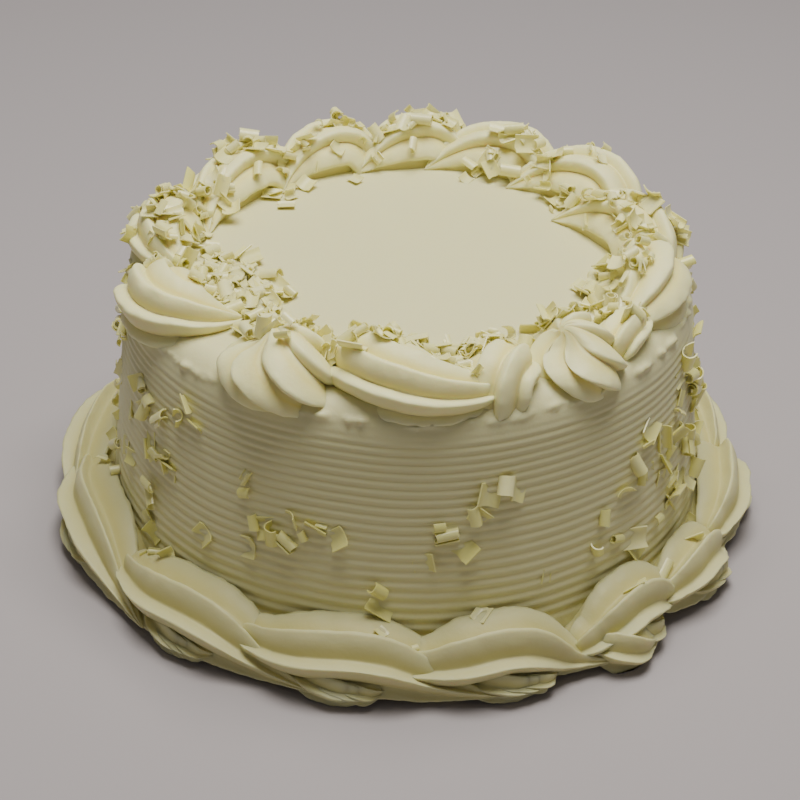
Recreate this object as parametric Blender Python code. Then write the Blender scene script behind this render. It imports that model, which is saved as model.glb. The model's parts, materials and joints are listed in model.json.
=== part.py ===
"""Round vanilla cake with a combed side, piped cream round its top and its foot, and chocolate curls.

Metres, +Z up. The origin is the middle of the flat base, and the side facing -Y is the front.
"""

import math

import bmesh
import bpy
from mathutils import Matrix, Vector

# Sizes of the cake itself
BASE_RADIUS = 0.100
RIM_RADIUS = 0.0915
TOP_HEIGHT = 0.090
SIDE_HEIGHT = 0.084
COMB_FOOT = 0.0152
COMB_TOP = 0.0800
COMB_PITCH = 0.00375
COMB_NARROWING = 0.018
COMB_DEPTH = 0.0009
SEGMENTS = 32

# Clear space between neighbouring pieces, and the slightly larger growth that keeps it on sloping ribs
GAP = 0.0003
NEIGHBOUR_GROWTH = 0.0005

# Piping: a star nozzle leaves ribs that run along each stroke
RIB_POINTS = 2
RIB_DEPTH = 0.22
STROKE_RINGS = 7
FINE_STEPS = 8
DROP_RINGS = 6
DROP_START = math.radians(-35)
DROP_SWEEP = 0.75

# How a stroke's thickness runs: head, belly and tail as shares of its length and girth
HEAD_SHARE = 0.25
BELLY_SHARE = 0.42
TAIL_TAPER = 0.90
LYING_TAPER = 2.0
RISE_SHARE = 0.35
HEAD_CAP = 0.4
NOSE_CAP = 1.0
TAIL_TIP = 1.2
DROP_TIP = 0.5
PROBE = 0.001

# The line that the top border follows, and how far its strokes are sunk in the cake
TOP_RING_RADIUS = 0.077
TOP_LIFT = 0.20
DROOP_START = 0.080
DROOP_SLOPE = 0.35

# The line that the foot border follows, in the corner between the side and the surface it stands on
FOOT_RING_RADIUS = 0.1060
FOOT_RING_HEIGHT = 0.0070
FOOT_RING_LOW = 0.0045
CORNER_ROUND = 0.0015
CORNER_SLOPE = math.radians(55)
FOOT_LIFT = 0.1

# A curl of shaved chocolate: an open roll, sunk a little in what it lies on
CURL_LENGTH = 0.0090
CURL_RADIUS = 0.0024
CURL_WALL = 0.0009
CURL_SINK = 0.0014
CURL_TURN = math.radians(230)
CURL_STEPS = 3
CURL_SEAT = 0.92

CREAM = (0.86, 0.82, 0.66, 1.0)
CHOCOLATE = (0.80, 0.76, 0.48, 1.0)


class Stroke:
    """One piped stroke: where it starts on its ring, how it runs, and how thick it is.

    Angles are in degrees and lengths in millimetres. The heading is 0 along the ring, counter-clockwise
    from above, and positive towards the cake's middle. The offset is across the ring, positive inwards.
    """

    tip = TAIL_TIP

    def __init__(self, angle, offset, heading, bend, length, girth, sway=0, upright=0, roll=0, ribs=7, head=0.7):
        self.angle = math.radians(angle)
        self.offset = offset / 1000
        self.heading = math.radians(heading)
        self.bend = math.radians(bend)
        self.length = length / 1000
        self.girth = girth / 1000
        self.sway = math.radians(sway)
        self.upright = upright / 1000
        self.roll = math.radians(roll)
        self.ribs = ribs
        self.head = head
        self.cap = HEAD_CAP if upright else NOSE_CAP

    def line(self, place, lift):
        """Rings along the stroke: (centre, radius, level side, ahead, roll), with a pointed tail."""
        steps = (STROKE_RINGS - 1) * FINE_STEPS
        along, across = 0.0, self.offset
        rings = []
        for step in range(steps + 1):
            share = step / steps
            turn = self.heading + self.bend * share + self.sway * math.sin(math.tau * share)
            pace = self.length / steps
            if self.upright:
                pace *= min(1.0, share / RISE_SHARE) / (1 - RISE_SHARE / 2)
            if step % FINE_STEPS == 0:
                radius = self.girth * thickness(share, self.head, 1 if self.upright else LYING_TAPER)
                level = lift * radius - self.upright * (1 - ease(share / RISE_SHARE))
                here = place(self.angle, along, across, level)
                beyond = place(self.angle, along + PROBE * math.cos(turn), across + PROBE * math.sin(turn), level)
                ahead = (beyond - here).normalized()
                side = Vector((ahead.y, -ahead.x, 0)).normalized()
                rings.append([here, radius, side, ahead, self.roll * ease(share)])
            along += pace * math.cos(turn)
            across += pace * math.sin(turn)
        for ring, before, after in zip(rings[1:-1], rings, rings[2:]):
            ring[3] = (after[0] - before[0]).normalized()
        if self.upright:
            rings[0][3] = Vector((0, 0, 1))
        return rings


class Drop:
    """One upright dollop: the nozzle is held over one place, turned and pulled away.

    Angles are in degrees and lengths in millimetres. The leans move its peak along and across the ring.
    """

    tip = DROP_TIP
    cap = HEAD_CAP

    def __init__(self, angle, offset, girth, rise, twist, stretch=1, lean_along=0, lean_across=0, ribs=9):
        self.angle = math.radians(angle)
        self.offset = offset / 1000
        self.girth = girth / 1000
        self.rise = rise / 1000
        self.twist = math.radians(twist)
        self.stretch = stretch
        self.lean_along = lean_along / 1000
        self.lean_across = lean_across / 1000
        self.ribs = ribs

    def line(self, place, lift):
        """Level rings from the foot up: (centre, radius, level side, ahead, roll)."""
        rings = []
        for step in range(DROP_RINGS):
            share = step / DROP_RINGS
            slope = DROP_START + (math.pi / 2 - DROP_START) * share
            lean = 1 - math.cos(max(0.0, slope))
            level = self.rise * math.sin(slope)
            centre = place(self.angle, self.lean_along * lean, self.offset + self.lean_across * lean, level)
            side = self.stretch * Vector((math.sin(self.angle), -math.cos(self.angle), 0))
            turned = self.twist * share ** DROP_SWEEP
            rings.append([centre, self.girth * math.cos(slope), side, Vector((0, 0, 1)), turned])
        return rings


TOP_STROKES = [
    Stroke(197.5, -5, -46, 128, 37, 13.0, upright=5, ribs=8),
    Drop(241.5, -3, 17.3, 11.5, -125, stretch=1.18, lean_along=-4, lean_across=4, ribs=7),
    Stroke(258.5, 7.5, -62, 82, 48, 12.6, upright=3, roll=4, ribs=8, head=0.6),
    Stroke(288, -5, 60, -40, 20, 11.0, upright=8),
    Drop(308.5, -2.5, 15, 12, -135, stretch=1.05, lean_along=-4, lean_across=3, ribs=7),
    Stroke(320, -3.5, 0, 20, 22, 8.0, upright=3),
    Stroke(354, 2, 208, -48, 40, 13.5, upright=5),
    Stroke(4, 0, 0, 50, 42, 13.0, upright=8),
    Stroke(31, -3, -10, 60, 40, 13.0, upright=8),
    Stroke(57, 0, -20, 60, 40, 12.5, upright=8),
    Stroke(82, -2, 0, 40, 36, 12.5, upright=8),
    Stroke(105, 2, -20, 60, 38, 12.5, upright=8),
    Stroke(131, 1, -10, 32, 50, 12.5, upright=8),
    Stroke(165, -4, -20, 60, 38, 12.0, upright=8),
]

FOOT_STROKES = [
    Stroke(157, 2, -4, -14, 78, 13.2, sway=10, roll=-5, ribs=7, head=0.55),
    Stroke(187, 2, -4, -14, 76, 13.6, sway=10, roll=-5, ribs=7, head=0.55),
    Stroke(219, 2, -4, -14, 74, 13.3, sway=11, roll=-5, ribs=7, head=0.55),
    Stroke(247, 2, -6, -12, 76, 13.3, sway=14, roll=-10, ribs=7, head=0.55),
    Stroke(274, 1, 0, -24, 62, 13.3, sway=16, roll=12, ribs=7, head=0.55),
    Stroke(303, 0, 14, -42, 46, 12.5, sway=14, roll=20, ribs=7, head=0.55),
    Stroke(322, 1, 0, -22, 44, 12, sway=10, roll=5, ribs=7, head=0.55),
    Stroke(343, 2, -4, -16, 64, 13.2, sway=10, roll=-5, ribs=7, head=0.55),
    Stroke(9, 2, -4, -14, 74, 13.4, sway=11, roll=0, ribs=7, head=0.55),
    Stroke(38, 2, -4, -14, 74, 13.2, sway=10, roll=-5, ribs=7, head=0.55),
    Stroke(67, 2, -4, -14, 76, 13.4, sway=11, roll=0, ribs=7, head=0.55),
    Stroke(96, 2, -4, -14, 78, 13.4, sway=10, roll=-5, ribs=7, head=0.55),
    Stroke(126, 2, -4, -14, 80, 13.4, sway=11, roll=0, ribs=7, head=0.55),
]

# Chocolate curls on the side: angle in degrees, height in millimetres and turn on the surface in degrees
SIDE_CURLS = [
    (222, 70, 10), (225, 62, 80), (218, 52, 40), (215, 36, 70),
    (240, 57, 60), (241, 45, 110), (251, 47, 20),
    (288, 62, 160), (283, 53, 140), (276, 49, 60), (296, 34, 65), (266, 34, 90),
    (315, 47, 5), (308, 38, 80), (321, 63, 30), (327, 54, 0), (334, 61, 60), (341, 72, 100),
    (12, 60, 30), (22, 44, 110), (60, 62, 10), (68, 42, 140), (104, 40, 100), (122, 62, 20),
    (163, 42, 40), (175, 64, 120),
]

# Curls on the top border: number of the piece, share of its length, place round it and turn, both in degrees
TOP_CURLS = [
    (1, 0.30, 100, 20), (1, 0.45, 120, 80), (2, 0.80, 90, 40), (3, 0.35, 105, 60), (3, 0.55, 100, 10),
    (5, 0.75, 90, 120), (7, 0.35, 100, 20), (7, 0.50, 110, 70), (8, 0.50, 90, 30), (9, 0.45, 100, 100),
    (10, 0.50, 80, 60), (11, 0.50, 100, 0), (12, 0.45, 90, 45), (13, 0.50, 100, 80), (14, 0.45, 90, 20),
]


def clear_scene():
    for obj in list(bpy.data.objects):
        bpy.data.objects.remove(obj, do_unlink=True)


def material(name, colour, roughness):
    made = bpy.data.materials.new(name)
    made.use_nodes = True
    shader = made.node_tree.nodes["Principled BSDF"]
    shader.inputs["Base Color"].default_value = colour
    shader.inputs["Roughness"].default_value = roughness
    return made


def add_object(name, bm, surface):
    bm.normal_update()
    mesh = bpy.data.meshes.new(name)
    bm.to_mesh(mesh)
    bm.free()
    mesh.materials.append(surface)
    mesh.shade_smooth()
    mesh.set_sharp_from_angle(angle=math.radians(40))
    made = bpy.data.objects.new(name, mesh)
    bpy.context.scene.collection.objects.link(made)
    return made


def side_radius(height):
    """Radius of the side at a height, without the comb's grooves."""
    return BASE_RADIUS + (RIM_RADIUS - BASE_RADIUS) * height / SIDE_HEIGHT


def rim_profile(growth):
    """The rounded edge between the side and the top, from its foot up."""
    edge = side_radius(SIDE_HEIGHT) + growth
    drop = TOP_HEIGHT - SIDE_HEIGHT
    points = []
    for step in range(4):
        turn = math.radians(90) * step / 3
        points.append((edge - drop * (1 - math.cos(turn)), SIDE_HEIGHT + growth + drop * math.sin(turn)))
    return points


def comb_height(ridge):
    """Height of a ridge, counted from the comb's foot; the ridges get narrower towards the top."""
    return COMB_FOOT + COMB_PITCH / COMB_NARROWING * (1 - math.exp(-COMB_NARROWING * ridge))


def body_profile():
    points = [(side_radius(0), 0.0), (side_radius(COMB_FOOT), COMB_FOOT)]
    ridge = 0
    while comb_height(ridge + 1) < COMB_TOP:
        crest = comb_height(ridge + 0.5)
        groove = comb_height(ridge + 1)
        ridge += 1
        points.append((side_radius(crest), crest))
        points.append((side_radius(groove) - COMB_DEPTH, groove))
    return points + [(side_radius(COMB_TOP + COMB_DEPTH), COMB_TOP + 2 * COMB_DEPTH)] + rim_profile(0.0)


def clearance_profile():
    foot = -0.02
    return [(side_radius(foot) + GAP, foot), (side_radius(COMB_TOP) + GAP, COMB_TOP)] + rim_profile(GAP)


def turned(profile):
    """Closed solid from a profile of (radius, height) points turned about the Z axis."""
    bm = bmesh.new()
    rings = []
    for radius, height in profile:
        ring = []
        for step in range(SEGMENTS):
            turn = math.tau * step / SEGMENTS
            ring.append(bm.verts.new((radius * math.cos(turn), radius * math.sin(turn), height)))
        rings.append(ring)
    for lower, upper in zip(rings, rings[1:]):
        for step in range(SEGMENTS):
            after = (step + 1) % SEGMENTS
            bm.faces.new((lower[step], lower[after], upper[after], upper[step]))
    bm.faces.new(rings[0][::-1])
    bm.faces.new(rings[-1])
    return bm


def top_place(start, along, across, lift):
    """Point of the top ring: along it, across it towards the middle, and above the cake's top."""
    turn = start + along / TOP_RING_RADIUS
    radius = TOP_RING_RADIUS - across
    droop = max(0.0, radius - DROOP_START) * DROOP_SLOPE
    return Vector((radius * math.cos(turn), radius * math.sin(turn), TOP_HEIGHT + lift - droop))


def foot_place(start, along, across, lift):
    """Point of the foot ring: along it, across the corner's slope and out along the floor, and above both."""
    turn = start + along / FOOT_RING_RADIUS
    lowest = (FOOT_RING_LOW - FOOT_RING_HEIGHT) / math.sin(CORNER_SLOPE)
    slope = lowest + CORNER_ROUND * math.log(1 + math.exp((across - lowest) / CORNER_ROUND))
    flat = across - slope
    radius = FOOT_RING_RADIUS - slope * math.cos(CORNER_SLOPE) - flat
    height = FOOT_RING_HEIGHT + slope * math.sin(CORNER_SLOPE) + lift
    return Vector((radius * math.cos(turn), radius * math.sin(turn), height))


def ease(share):
    """Smooth step from 0 to 1."""
    share = min(1.0, max(0.0, share))
    return share * share * (3 - 2 * share)


def thickness(share, head_girth, taper):
    """Share of the full girth along a stroke: a blunt head, a full belly and a drawn-out tail."""
    head = head_girth + (1 - head_girth) * math.sin(min(1.0, share / HEAD_SHARE) * math.pi / 2)
    tail = math.cos(max(0.0, share - BELLY_SHARE) / (1 - BELLY_SHARE) * math.pi / 2 * TAIL_TAPER)
    return head * tail ** taper


def piped_mesh(item, place, lift, growth=0.0):
    """Closed solid of one stroke or drop: star outlines strung on its line, all of it grown if asked."""
    bm = bmesh.new()
    around = item.ribs * RIB_POINTS
    line = item.line(place, lift)
    rings = []
    for centre, radius, side, ahead, roll in line:
        up = side.cross(ahead).normalized()
        ring = []
        for step in range(around):
            turn = math.tau * step / around
            wave = abs(math.cos(item.ribs * turn / 2))
            reach = radius * (1 - RIB_DEPTH + RIB_DEPTH * wave) + growth
            ring.append(bm.verts.new(centre + reach * (side * math.cos(turn + roll) + up * math.sin(turn + roll))))
        rings.append(ring)
    for first, second in zip(rings, rings[1:]):
        for step in range(around):
            after = (step + 1) % around
            bm.faces.new((first[step], first[after], second[after], second[step]))
    head = bm.verts.new(line[0][0] - line[0][3] * (line[0][1] * item.cap + growth))
    tail = bm.verts.new(line[-1][0] + line[-1][3] * (line[-1][1] * item.tip + 2 * growth))
    for step in range(around):
        after = (step + 1) % around
        bm.faces.new((rings[0][after], rings[0][step], head))
        bm.faces.new((rings[-1][step], rings[-1][after], tail))
    bmesh.ops.recalc_face_normals(bm, faces=bm.faces)
    return bm


def curl_mesh(place):
    """Closed solid of one short roll of shaved chocolate, open along one side, with its back at the origin."""
    bm = bmesh.new()
    rings = []
    for step in range(CURL_STEPS + 1):
        turn = CURL_TURN * (step / CURL_STEPS - 0.5) - math.pi / 2
        ring = []
        for radius in (CURL_RADIUS, CURL_RADIUS - CURL_WALL):
            for end in (-0.5, 0.5):
                height = CURL_RADIUS - CURL_SINK + radius * math.sin(turn)
                ring.append(bm.verts.new(place @ Vector((end * CURL_LENGTH, radius * math.cos(turn), height))))
        rings.append((ring[0], ring[1], ring[3], ring[2]))
    for first, second in zip(rings, rings[1:]):
        for corner in range(4):
            after = (corner + 1) % 4
            bm.faces.new((first[corner], first[after], second[after], second[corner]))
    bm.faces.new(rings[0][::-1])
    bm.faces.new(rings[-1])
    bmesh.ops.recalc_face_normals(bm, faces=bm.faces)
    return bm


def side_spot(angle, height, spin):
    """Placement on the side of the cake: its Z points out, turned on the surface by the spin."""
    turn = math.radians(angle)
    slope = math.atan2(BASE_RADIUS - RIM_RADIUS, SIDE_HEIGHT)
    radius = side_radius(height)
    spot = Matrix.Translation((radius * math.cos(turn), radius * math.sin(turn), height))
    outward = Matrix.Rotation(turn, 4, "Z") @ Matrix.Rotation(math.pi / 2 - slope, 4, "Y")
    return spot @ outward @ Matrix.Rotation(math.radians(spin), 4, "Z")


def swirl_spot(item, place, lift, share, turn, spin):
    """Placement on a piped piece at a share of its length: its Z points out of it."""
    line = item.line(place, lift)
    centre, radius, side, ahead, roll = line[round(share * (len(line) - 1))]
    up = side.cross(ahead).normalized()
    outward = side * math.cos(math.radians(turn)) + up * math.sin(math.radians(turn))
    if isinstance(item, Drop):
        outward = (outward + 2 * ahead).normalized()
    spot = Matrix.Translation(centre + outward * radius * CURL_SEAT)
    return spot @ outward.to_track_quat("Z", "Y").to_matrix().to_4x4() @ Matrix.Rotation(math.radians(spin), 4, "Z")


def apply_modifiers(obj):
    """Replaces the object's mesh with the result of its modifiers."""
    graph = bpy.context.evaluated_depsgraph_get()
    finished = bpy.data.meshes.new_from_object(obj.evaluated_get(graph))
    obj.modifiers.clear()
    obj.data = finished


def boolean(obj, operation, helpers):
    """Joins or cuts an object by a group of helper objects, and removes the helpers."""
    group = bpy.data.collections.new(obj.name + "_helpers")
    bpy.context.scene.collection.children.link(group)
    for helper in helpers:
        helper.hide_render = True
        helper.display_type = "WIRE"
        bpy.context.scene.collection.objects.unlink(helper)
        group.objects.link(helper)
    modifier = obj.modifiers.new(operation.lower(), "BOOLEAN")
    modifier.operation = operation
    modifier.solver = "EXACT"
    modifier.use_self = True
    modifier.operand_type = "COLLECTION"
    modifier.collection = group
    apply_modifiers(obj)
    for helper in helpers:
        bpy.data.objects.remove(helper, do_unlink=True)
    bpy.data.collections.remove(group)


def keep_largest_piece(obj):
    """Drops the loose scraps that a cut leaves beside the main piece."""
    bm = bmesh.new()
    bm.from_mesh(obj.data)
    left = set(bm.faces)
    pieces = []
    while left:
        piece = [left.pop()]
        for face in piece:
            for edge in face.edges:
                for neighbour in edge.link_faces:
                    if neighbour in left:
                        left.remove(neighbour)
                        piece.append(neighbour)
        pieces.append(piece)
    pieces.sort(key=lambda piece: sum(face.calc_area() for face in piece))
    for piece in pieces[:-1]:
        bmesh.ops.delete(bm, geom=piece, context="FACES")
    loose = [vert for vert in bm.verts if not vert.link_faces]
    bmesh.ops.delete(bm, geom=loose, context="VERTS")
    bm.to_mesh(obj.data)
    bm.free()


def floor_cutter(surface):
    """Block under the base, which cuts the foot border flat."""
    bm = bmesh.new()
    width = 4 * BASE_RADIUS
    bmesh.ops.create_cube(bm, size=1, matrix=Matrix.Translation((0, 0, -width / 2)) @ Matrix.Scale(width, 4))
    return add_object("below_floor", bm, surface)


def add_border(name, items, place, lift, surfaces, curls, on_floor):
    """Pipes one border. Each piece is cut back from the cake and from the two that are piped after it."""
    cream, chocolate = surfaces
    for number, item in enumerate(items):
        piece = add_object(f"{name}_{number + 1:02d}", piped_mesh(item, place, lift), cream)
        toppings = []
        for owner, share, turn, spin in curls:
            if owner == number + 1:
                spot = swirl_spot(item, place, lift, share, turn, spin)
                toppings.append(add_object("curl", curl_mesh(spot), chocolate))
        if toppings:
            boolean(piece, "UNION", toppings)
        cutters = [add_object("clearance", turned(clearance_profile()), cream)]
        if on_floor:
            cutters.append(floor_cutter(cream))
        for later in (1, 2):
            over = items[(number + later) % len(items)]
            cutters.append(add_object("later_piece", piped_mesh(over, place, lift, NEIGHBOUR_GROWTH), cream))
        boolean(piece, "DIFFERENCE", cutters)
        keep_largest_piece(piece)


def build_cake():
    clear_scene()
    cream = material("cream", CREAM, 0.45)
    chocolate = material("chocolate", CHOCOLATE, 0.40)
    body = add_object("cake_body", turned(body_profile()), cream)
    curls = []
    for angle, height, spin in SIDE_CURLS:
        curls.append(add_object("curl", curl_mesh(side_spot(angle, height / 1000, spin)), chocolate))
    boolean(body, "UNION", curls)
    keep_largest_piece(body)
    add_border("top_swirl", TOP_STROKES, top_place, TOP_LIFT, (cream, chocolate), TOP_CURLS, False)
    add_border("foot_shell", FOOT_STROKES, foot_place, FOOT_LIFT, (cream, chocolate), [], True)


if __name__ == "__main__":
    build_cake()
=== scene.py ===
import json
import math
import random
from collections import namedtuple

import bmesh
import bpy
from bpy.props import FloatProperty, FloatVectorProperty, IntProperty, PointerProperty
from mathutils import Matrix, Vector
from mathutils.bvhtree import BVHTree

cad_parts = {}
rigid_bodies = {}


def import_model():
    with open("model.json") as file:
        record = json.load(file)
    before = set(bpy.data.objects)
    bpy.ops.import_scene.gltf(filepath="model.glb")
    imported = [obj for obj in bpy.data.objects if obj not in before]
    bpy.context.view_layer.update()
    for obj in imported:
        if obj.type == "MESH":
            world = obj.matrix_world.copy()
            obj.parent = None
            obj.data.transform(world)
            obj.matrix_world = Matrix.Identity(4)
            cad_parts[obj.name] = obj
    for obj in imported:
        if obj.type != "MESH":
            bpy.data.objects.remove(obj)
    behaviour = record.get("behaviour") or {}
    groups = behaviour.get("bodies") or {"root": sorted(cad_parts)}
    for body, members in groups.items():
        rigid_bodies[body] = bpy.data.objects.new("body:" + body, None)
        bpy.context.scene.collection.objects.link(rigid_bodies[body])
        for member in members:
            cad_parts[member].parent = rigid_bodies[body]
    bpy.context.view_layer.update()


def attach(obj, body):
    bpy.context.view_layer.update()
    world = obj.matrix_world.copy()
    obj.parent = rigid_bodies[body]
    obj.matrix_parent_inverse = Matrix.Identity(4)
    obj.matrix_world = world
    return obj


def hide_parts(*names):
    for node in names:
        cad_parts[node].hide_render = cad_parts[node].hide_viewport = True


bl_info = {
    "name": "Vanilla cake",
    "version": (1, 0, 0),
    "blender": (4, 5, 0),
    "location": "3D View > Sidebar > Cake",
    "description": "Dresses a round cake with combed cream, piped borders and shaved chocolate",
    "category": "Object",
}

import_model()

# The cake itself, in metres
BASE_RADIUS = 0.100
RIM_RADIUS = 0.0915
TOP_HEIGHT = 0.090
SIDE_HEIGHT = 0.084
BODY_SEGMENTS = 400
SIDE_STEPS = 165
RIM_STEPS = 16
TOP_STEPS = 12

# The comb's marks: where they run, how they thin out upwards, fade and stray
COMB_FOOT = 0.0152
COMB_TOP = 0.0818
COMB_OVERLAP = 0.002
COMB_FADE = 0.0034
COMB_NARROWING = 0.018
COMB_SHARPNESS = 1.15
COMB_WOBBLE = 0.0022
# How strongly the grooves are painted with the crease colour, as painted shade
COMB_SHADE = 0.45
BASE_BAND = 0.002

# The side leans in above the comb, and cream that the comb pushed up stands ragged at the rim
SHOULDER_START = 0.0765
SHOULDER_BEND = -20.0
SHOULDER_INNER = 0.085
LIP_HEIGHT = 0.0850
LIP_WIDTH = 0.0011
LIP_GAPS = 0.44
LIP_SIZE = 0.009
BULGE = 0.0012

# How hard the comb presses on the cream: the least, and how much more in places
LEAST_GRIP = 0.65
GRIP_RANGE = 0.7

# The lines that the two borders follow
TOP_RING_RADIUS = 0.077
TOP_LIFT = 0.20
DROOP_START = 0.080
DROOP_SLOPE = 0.35
FOOT_RING_RADIUS = 0.1060
FOOT_RING_HEIGHT = 0.0070
FOOT_RING_LOW = 0.0045
CORNER_SLOPE = math.radians(55)
CORNER_ROUND = 0.0015
FOOT_LIFT = 0.1

# How a stroke's thickness runs along it
HEAD_SHARE = 0.25
BELLY_SHARE = 0.42
TAIL_TAPER = 0.90
LYING_TAPER = 2.0
RISE_SHARE = 0.35
HEAD_CAP = 0.4
NOSE_CAP = 1.0
TAIL_TIP = 1.2
SMALLEST_CAP = 0.02
SMALLEST_TIP = 0.03
DROP_SWEEP = 0.75
DROP_START = math.radians(-35)
STROKE_STEPS = 72
FINE_STEPS = 4
PROBE = 0.001
DROP_STEPS = 30
CAP_STEPS = 5

# The star outline of the nozzle: its crests, the valleys between them, and how the cream strays from it
POINTS_PER_RIB = 18
CREST_ROUNDNESS = 0.75
VALLEY_SHARPNESS = 1.1
QUICK_RIPPLE = 0.3
NICKS = 1.8
NICKED_CRESTS = 4.0
LOWEST_POINT = 0.0002
SEED_STEP = 0.37
DOUBLES = 1e-6

# How the cream and the chocolate look
CREAM_ROUGHNESS = 0.48
CREAM_SHINE = 0.35
CREAM_GLOW = (1.0, 0.75, 0.4)
CREAM_GLOW_DEPTH = 0.004
BLOTCH_SHADE = 0.97
# How tightly the painted crease shade keeps to the deepest part of each crease
CREASE_FADE = 2.0
CHOCOLATE_ROUGHNESS = 0.28
CHOCOLATE_GLOW = (1.0, 0.85, 0.4)
CHOCOLATE_GLOW_DEPTH = 0.002
GLOW = 0.35

# The stage
FLOOR_HALF_WIDTH = 6
FLOOR_CELLS = 8
FLOOR_COLOUR = (0.382, 0.348, 0.362, 1)
FLOOR_ROUGHNESS = 0.9
ROOM_COLOUR = (0.97, 0.96, 1.0, 1)
ROOM_STRENGTH = 0.15
LAMP_PLACE = (0.05, 0.04, 1.00)
LAMP_AIM = (0, 0, 0.05)
LAMP_ENERGY = 14.5
LAMP_SIZE = 0.60
LAMP_COLOUR = (1.0, 0.98, 0.905)
CAMERA_ELEVATION = math.radians(32.41)
CAMERA_ROLL = math.radians(-1.37)
CAMERA_AIM = Vector((-0.00225, 0, 0.0363))
CAMERA_DISTANCE = 0.700
SENSOR_WIDTH = 36
LENS = 93.69


def top_place(start, along, across, lift):
    """Point of the top ring: along it, across it towards the middle, and above the cake's top."""
    turn = start + along / TOP_RING_RADIUS
    radius = TOP_RING_RADIUS - across
    droop = max(0.0, radius - DROOP_START) * DROOP_SLOPE
    return Vector((radius * math.cos(turn), radius * math.sin(turn), TOP_HEIGHT + lift - droop))


def foot_place(start, along, across, lift):
    """Point of the foot ring: along it, across the corner's slope and out along the floor, and above both."""
    turn = start + along / FOOT_RING_RADIUS
    lowest = (FOOT_RING_LOW - FOOT_RING_HEIGHT) / math.sin(CORNER_SLOPE)
    slope = lowest + CORNER_ROUND * math.log(1 + math.exp((across - lowest) / CORNER_ROUND))
    flat = across - slope
    radius = FOOT_RING_RADIUS - slope * math.cos(CORNER_SLOPE) - flat
    height = FOOT_RING_HEIGHT + slope * math.sin(CORNER_SLOPE) + lift
    return Vector((radius * math.cos(turn), radius * math.sin(turn), height))


def side_radius(height):
    """Radius of the side at a height, without the comb's marks."""
    return BASE_RADIUS + (RIM_RADIUS - BASE_RADIUS) * height / SIDE_HEIGHT


def ease(share):
    """Smooth step from 0 to 1."""
    share = min(1.0, max(0.0, share))
    return share * share * (3 - 2 * share)


def thickness(share, head_girth, taper):
    """Share of the full girth along a stroke: a blunt head, a full belly and a drawn-out tail."""
    head = head_girth + (1 - head_girth) * math.sin(min(1.0, share / HEAD_SHARE) * math.pi / 2)
    tail = math.cos(max(0.0, share - BELLY_SHARE) / (1 - BELLY_SHARE) * math.pi / 2 * TAIL_TAPER)
    return head * tail ** taper


class Stroke:
    """One piped stroke: where it starts on its ring, how it runs, and how thick it is.

    Angles are in degrees and lengths in millimetres. The heading is 0 along the ring, counter-clockwise
    from above, and positive towards the cake's middle. The offset is across the ring, positive inwards.
    The extras are smaller strokes or drops that merge with it.
    """

    def __init__(self, angle, offset, heading, bend, length, girth, sway=0, upright=0, roll=0, ribs=7,
                 head=0.7, extras=()):
        self.angle = math.radians(angle)
        self.offset = offset / 1000
        self.heading = math.radians(heading)
        self.bend = math.radians(bend)
        self.length = length / 1000
        self.girth = girth / 1000
        self.sway = math.radians(sway)
        self.upright = upright / 1000
        self.roll = math.radians(roll)
        self.ribs = ribs
        self.head = head
        self.extras = extras

    def line(self, place, lift):
        """Rings along the stroke: (centre, radius, level side, ahead, roll)."""
        steps = STROKE_STEPS * FINE_STEPS
        along, across = 0.0, self.offset
        rings = []
        for step in range(steps + 1):
            share = step / steps
            turn = self.heading + self.bend * share + self.sway * math.sin(math.tau * share)
            pace = self.length / steps
            if self.upright:
                pace *= min(1.0, share / RISE_SHARE) / (1 - RISE_SHARE / 2)
            if step % FINE_STEPS == 0:
                radius = self.girth * thickness(share, self.head, 1 if self.upright else LYING_TAPER)
                level = lift * radius - self.upright * (1 - ease(share / RISE_SHARE))
                here = place(self.angle, along, across, level)
                near = (along + PROBE * math.cos(turn), across + PROBE * math.sin(turn))
                beyond = place(self.angle, *near, level)
                ahead = (beyond - here).normalized()
                side = Vector((ahead.y, -ahead.x, 0)).normalized()
                rings.append([here, radius, side, ahead, self.roll * ease(share)])
            along += pace * math.cos(turn)
            across += pace * math.sin(turn)
        if self.upright:
            rings[0][3] = Vector((0, 0, 1))
        return rounded_ends(rings, HEAD_CAP if self.upright else NOSE_CAP)


class Drop:
    """One upright dollop: the nozzle is held over one place, turned and pulled away."""

    ribs = 7
    extras = ()

    def __init__(self, angle, offset, girth, rise, twist, stretch, lean_along, lean_across=0):
        self.angle = math.radians(angle)
        self.offset = offset / 1000
        self.girth = girth / 1000
        self.rise = rise / 1000
        self.twist = math.radians(twist)
        self.stretch = stretch
        self.lean_along = lean_along / 1000
        self.lean_across = lean_across / 1000

    def line(self, place, lift):
        """Level rings from the foot up: (centre, radius, level side, ahead, roll)."""
        rings = []
        for step in range(DROP_STEPS):
            share = step / DROP_STEPS
            slope = DROP_START + (math.pi / 2 - DROP_START) * share
            lean = 1 - math.cos(max(0.0, slope))
            level = self.rise * math.sin(slope)
            centre = place(self.angle, self.lean_along * lean, self.offset + self.lean_across * lean, level)
            side = self.stretch * Vector((math.sin(self.angle), -math.cos(self.angle), 0))
            turned = self.twist * share ** DROP_SWEEP
            rings.append([centre, self.girth * math.cos(slope), side, Vector((0, 0, 1)), turned])
        return rings


def rounded_ends(rings, head_cap):
    """The rings of a stroke with a rounded cap before its head and a drawn-out point after its tail."""
    centre, radius, side, ahead, roll = rings[0]
    head = []
    for step in range(1, CAP_STEPS + 1):
        turn = math.pi / 2 * step / CAP_STEPS
        reach = max(SMALLEST_CAP, math.cos(turn)) * radius
        head.insert(0, [centre - ahead * radius * head_cap * math.sin(turn), reach, side, ahead, roll])
    centre, radius, side, ahead, roll = rings[-1]
    tail = []
    for step in range(1, CAP_STEPS + 1):
        share = step / CAP_STEPS
        reach = radius * max(SMALLEST_TIP, 1 - share)
        tail.append([centre + ahead * radius * TAIL_TIP * share, reach, side, ahead, roll])
    return head + rings + tail


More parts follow.
